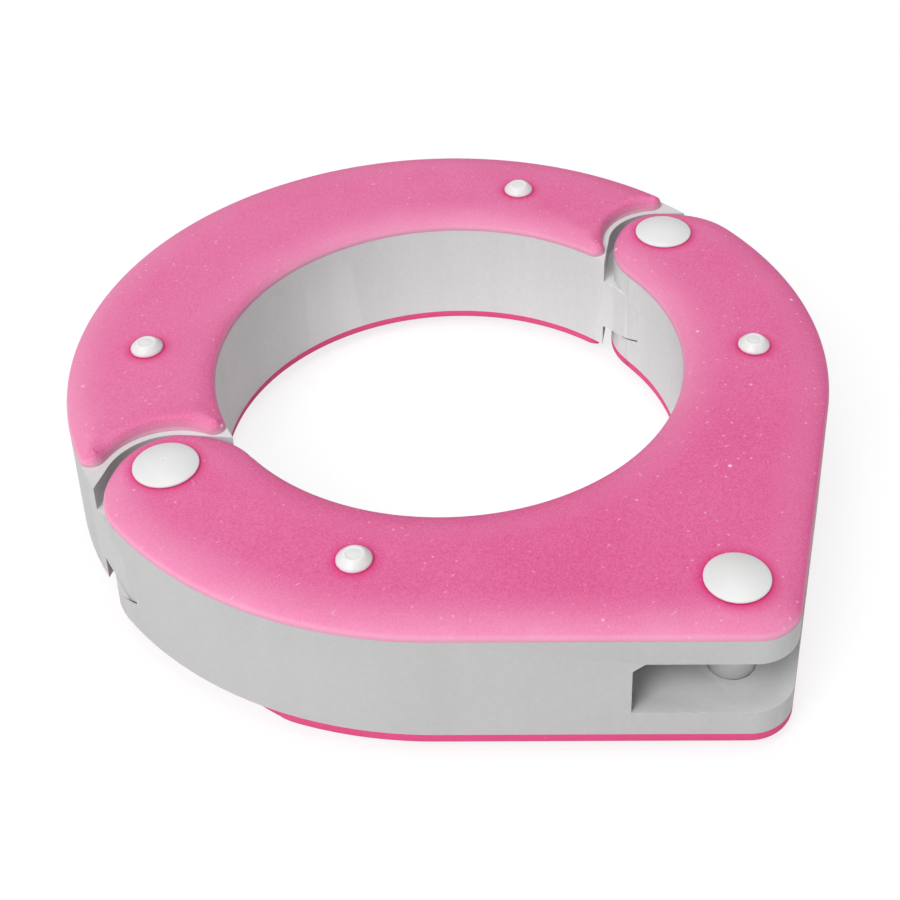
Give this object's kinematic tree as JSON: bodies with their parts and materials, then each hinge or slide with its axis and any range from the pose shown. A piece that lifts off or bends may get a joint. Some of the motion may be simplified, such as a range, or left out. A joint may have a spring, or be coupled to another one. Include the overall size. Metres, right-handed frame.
{
  "type": "hinged ring collar",
  "caption": "Flat two-jaw hinged ring collar: the back jaw swings on a pin, and the front jaw ends in a pointed, slotted nose with a cross pin.",
  "frame": {"origin": "centre of the closed bore, on the ring axis, halfway through the thickness", "axes": "+Z along the ring axis, out of the face with the plain pin heads; the nose points along -Y, the hinge is on the -X side and the closing pin on the +X side"},
  "size_m": [0.129, 0.1465, 0.0268],
  "materials": {
    "jaw_core": "smooth satin light grey",
    "facing": "matte pink, faintly mottled",
    "pin_head": "satin white",
    "rivet": "satin white"
  },
  "bodies": {
    "front_jaw": {"front_body": "jaw_core", "front_top_facing": "facing", "front_bottom_facing": "facing", "hinge_post": "pin_head", "hinge_screw": "pin_head", "nose_post": "pin_head", "nose_screw": "pin_head", "front_rivets": "rivet"},
    "back_jaw": {"back_body": "jaw_core", "back_top_facing": "facing", "back_bottom_facing": "facing", "back_rivets": "rivet"},
    "closing_pin": {"closing_post": "pin_head", "closing_screw": "pin_head"}
  },
  "joints": [
    {"name": "jaw_swing", "type": "hinge", "parent": "front_jaw", "child": "back_jaw", "pos_m": [-0.0525, 0.0035, 0], "axis": [0, 0, 1], "range_deg": [0, 30]},
    {"name": "closing_pin_turn", "type": "hinge", "parent": "front_jaw", "child": "closing_pin", "pos_m": [0.0525, 0.0035, 0], "axis": [0, 0, 1], "range_deg": [0, 90]}
  ]
}
